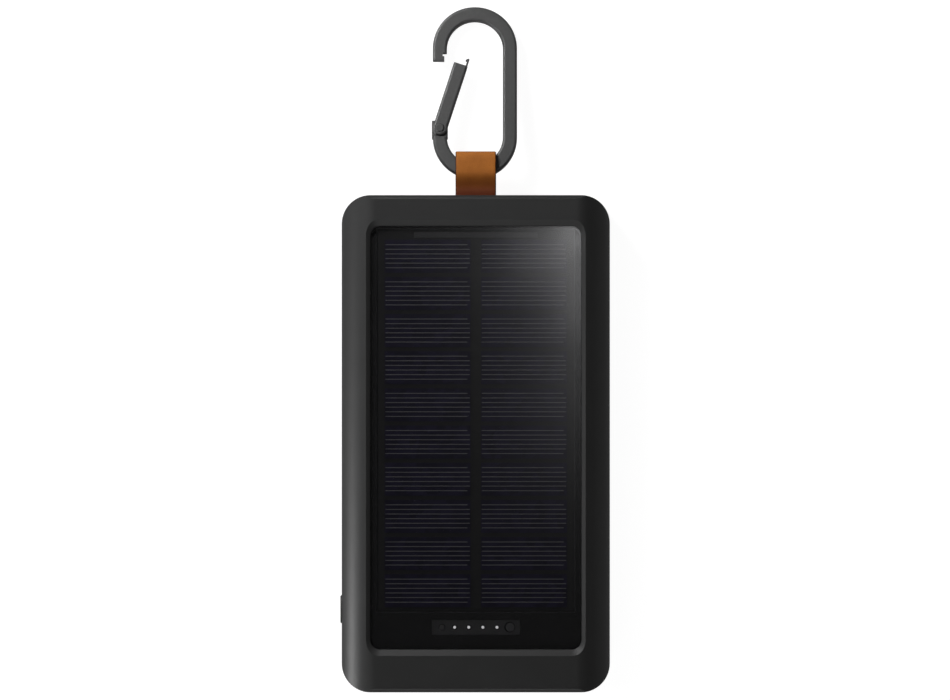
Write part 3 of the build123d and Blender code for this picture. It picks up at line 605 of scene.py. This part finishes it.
def grip_pad():
    """Rubber pad with rounded rims and soft-edged grip grooves."""
    low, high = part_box("rear_grip_pad")
    middle = (low + high) / 2
    width, length = high.x - low.x, high.y - low.y
    rim = 0.45 * MM
    shape = Shape()
    rings = []
    for i in range(7):
        angle = math.pi / 2 * i / 6
        inset = rim * (1 - math.sin(angle))
        z = low.z + rim * (1 - math.cos(angle))
        ring = rounded_ring(width - 2 * inset, length - 2 * inset, PAD_CORNER - inset, 10)
        rings.append([Vector((middle.x + a, middle.y + b, z)) for a, b in ring])
    ring = rounded_ring(width, length, PAD_CORNER, 10)
    rings.append([Vector((middle.x + a, middle.y + b, high.z)) for a, b in ring])
    shape.loft(rings)
    pad = shape.make("grip_pad", looks["rubber"], "case")
    grooves = Shape()
    for i in range(GROOVES):
        y = middle.y + (i - (GROOVES - 1) / 2) * GROOVE_PITCH
        rings = []
        for z, share in ((-0.5 * MM, 1), (0, 1), (0.1 * MM, 0.94), (0.25 * MM, 0.8), (GROOVE_DEPTH, 0.5)):
            inset = GROOVE_WIDTH / 2 * (1 - share)
            ring = rounded_ring(width - 8 * MM - 2 * inset, GROOVE_WIDTH - 2 * inset, 1 * MM, 6)
            rings.append([Vector((middle.x + a, y + b, low.z + z)) for a, b in ring])
        grooves.loft(rings)
    cut(pad, grooves.place("grooves"))
    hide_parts("rear_grip_pad")


grip_pad()

# ---- power button ----------------------------------------------------------------------


def power_key():
    """Slot-shaped key: flange inside the wall, soft rim and a dished face."""
    low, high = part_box("power_button")
    middle = (low + high) / 2
    flange = 0.7 * MM
    length = high.y - low.y - 1.8 * MM
    height = high.z - low.z - 1.6 * MM
    # x, then the insets along Y and Z in mm, from the flange to the dished face
    levels = [
        (high.x, -0.9, -0.8),
        (high.x - flange, -0.9, -0.8),
        (high.x - flange, 0, 0),
        (low.x + 0.3 * MM, 0, 0),
        (low.x + 0.15 * MM, 0.05, 0.05),
        (low.x + 0.04 * MM, 0.15, 0.15),
        (low.x, 0.32, 0.32),
        (low.x, 0.6, 0.6),
        (low.x + 0.06 * MM, 0.85, 0.85),
        (low.x + 0.1 * MM, 1.3, 1.3),
        (low.x + 0.11 * MM, 1.9, 1.9),
    ]
    rings = []
    for x, inset_y, inset_z in levels:
        ring = rounded_ring(length - 2 * inset_y * MM, height - 2 * inset_z * MM, height, 10)
        rings.append([Vector((x, middle.y + a, middle.z + b)) for a, b in ring])
    shape = Shape()
    shape.loft(rings)
    dot = []
    for share, lift in ((1, 0), (0.95, 0.05), (0.75, 0.09), (0.3, 0.1)):
        circle = rounded_ring(1.1 * MM * share, 1.1 * MM * share, 1 * MM, 6)
        x = low.x + (0.12 - lift) * MM
        dot.append([Vector((x, middle.y + a, middle.z + b)) for a, b in circle])
    shape.loft(dot)
    key = shape.make("power_key", looks["button_plastic"], "button")
    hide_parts("power_button")


power_key()

# ---- flap over the sockets -----------------------------------------------------------------

FLAP_THICKNESS = 1.5 * MM
FLAP_CORNER = 1.5 * MM
RIBS = 5
RIB_PITCH = 0.8 * MM
RIB_LENGTH = 9.0
RIB_WIDTH = 0.5
# x, z, width, height and corner radius of each plug, in mm
PLUGS = [(-13.0, 9.85, 11.2, 3.6, 0.6), (13.0, 9.85, 11.2, 3.6, 0.6), (0.0, 8.63, 7.4, 1.9, 0.95)]


def port_flap():
    """Rubber flap with a rolled rim, a sunk face, grip ribs and three plugs."""
    low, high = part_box("port_cover")
    middle = (low + high) / 2
    width, height = high.x - low.x, high.z - low.z
    shape = Shape()
    # inset and depth of each ring, in mm, from the inner face to the sunk outer one
    levels = [
        (0.1, FLAP_THICKNESS / MM),
        (0, FLAP_THICKNESS / MM - 0.1),
        (0, 0.3),
        (0.06, 0.12),
        (0.18, 0.03),
        (0.35, 0),
        (0.8, 0),
        (0.95, 0.05),
        (1.15, 0.2),
        (1.35, 0.25),
    ]
    rings = []
    for inset, depth in levels:
        w, h = width - 2 * inset * MM, height - 2 * inset * MM
        ring = rounded_ring(w, h, max(FLAP_CORNER - inset * MM, 0.5 * MM), 8)
        rings.append([Vector((middle.x + a, low.y + depth * MM, middle.z + b)) for a, b in ring])
    shape.loft(rings)
    back = low.y + FLAP_THICKNESS
    for x, z, w, h, corner in PLUGS:
        rings = []
        for inset, depth in ((0, -0.1), (0, 0.7), (0.12, 0.98), (0.35, 1.1)):
            ring = rounded_ring((w - 2 * inset) * MM, (h - 2 * inset) * MM, corner * MM, 6)
            y = back + depth * MM
            rings.append([Vector((x * MM + a, y, z * MM + b)) for a, b in ring])
        shape.loft(rings)
    for i in range(RIBS):
        rings = []
        for inset, depth in ((0, 0.3), (0.05, 0.12), (0.18, 0.06)):
            w, h = (RIB_LENGTH - 2 * inset) * MM, (RIB_WIDTH - 2 * inset) * MM
            ring = rounded_ring(w, h, RIB_WIDTH / 2 * MM, 4)
            z = low.z + 2.0 * MM + i * RIB_PITCH
            rings.append([Vector((middle.x + a, low.y + depth * MM, z + b)) for a, b in ring])
        shape.loft(rings)
    flap = shape.make("port_flap", looks["rubber"], "cover")
    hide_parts("port_cover")


port_flap()

# ---- stage and light ------------------------------------------------------------------------


def area_light(name, place, size, watts, target=(0, 0, 0.01), length=None):
    """A square or, given a length, oblong softbox that faces target."""
    data = bpy.data.lights.new(name, "AREA")
    data.size = size
    if length:
        data.shape = "RECTANGLE"
        data.size_y = length
    data.energy = watts
    light = bpy.data.objects.new(name, data)
    light.location = place
    aim = Vector(target) - Vector(place)
    light.rotation_euler = aim.to_track_quat("-Z", "Y").to_euler()
    bpy.context.scene.collection.objects.link(light)
    return light


def make_world():
    """A dim surround, a little brighter at the horizon than overhead."""
    world = bpy.data.worlds.new("studio")
    world.use_nodes = True
    tree = world.node_tree
    place = tree.nodes.new("ShaderNodeTexCoord")
    split = tree.nodes.new("ShaderNodeSeparateXYZ")
    ramp = tree.nodes.new("ShaderNodeValToRGB")
    ramp.color_ramp.elements[0].position = 0.0
    ramp.color_ramp.elements[0].color = (*grey(0.175), 1)
    ramp.color_ramp.elements[1].position = 0.8
    ramp.color_ramp.elements[1].color = (*grey(0.0234), 1)
    tree.links.new(place.outputs["Generated"], split.inputs[0])
    tree.links.new(split.outputs["Z"], ramp.inputs["Fac"])
    tree.links.new(ramp.outputs["Color"], tree.nodes["Background"].inputs["Color"])
    bpy.context.scene.world = world


def make_floor():
    """A pale light table, which keeps the background white and nearly shadowless."""
    mesh = bpy.data.meshes.new("floor")
    edge = 3.0
    drop = -0.03 * MM
    corners = [(-edge, -edge, drop), (edge, -edge, drop), (edge, edge, drop), (-edge, edge, drop)]
    mesh.from_pydata(corners, [], [(0, 1, 2, 3)])
    floor = bpy.data.objects.new("floor", mesh)
    bpy.context.scene.collection.objects.link(floor)
    look = Look("light_table", Roughness=0.9, Emission_Color=(1, 1, 1, 1), Emission_Strength=0.95)
    look.colour(look.ramp(look.noise(3), (0.3, grey(0.2)), (0.7, grey(0.22))))
    mesh.materials.append(look.material)
    floor.visible_glossy = False


def flag_lens(softboxes):
    """Keeps the softboxes' glare off the glossy lens, as a flag or polariser would."""
    flagged = bpy.data.collections.new("flagged")
    flagged.objects.link(nodes["cover_lens"])
    flagged.collection_objects[0].light_linking.link_state = "EXCLUDE"
    for light in softboxes:
        light.light_linking.receiver_collection = flagged


def make_lights():
    """Softboxes low on the left, up left and at the foot, and a sheen over the panel's corner."""
    softboxes = [
        area_light("left_low", (-0.25, -0.09, 0.04), 0.08, 0.4),
        area_light("left_wide", (-0.35, 0.05, 0.10), 0.2, 0.07),
        area_light("upper_left", (-0.15, 0.25, 0.20), 0.1, 0.62),
        area_light("upper_left_far", (-0.5, 0.6, 0.5), 0.3, 1.3),
        area_light("overhead_left", (-0.25, 0.0, 0.6), 0.2, 0.18),
        area_light("foot", (0.0, -0.3, 0.2), 0.15, 0.2),
        area_light("right_low", (0.4, 0.0, 0.1), 0.2, 0.02),
    ]
    flag_lens(softboxes)
    _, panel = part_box("cover_lens")
    # offset from the panel's corner, size and length in metres, then watts
    sheen = [
        ((0, 0, 0.12), 0.01, 0.01, 0.0011),
        ((0.01, -0.015, 0.12), 0.03, 0.03, 0.0027),
        ((-0.01, -0.005, 0.15), 0.02, 0.02, 0.0009),
        ((0.006, -0.02, 0.2), 0.02, 0.06, 0.0016),
        ((-0.02, 0, 0.3), 0.06, 0.02, 0.0008),
        ((0.018, -0.032, 0.4), 0.04, 0.08, 0.0064),
    ]
    for i, (offset, size, length, watts) in enumerate(sheen):
        place = panel + Vector(offset)
        area_light(f"sheen_{i}", place, size, watts, (place.x, place.y, panel.z), length)


bpy.context.scene.view_settings.view_transform = "Standard"
make_world()
make_floor()
make_lights()
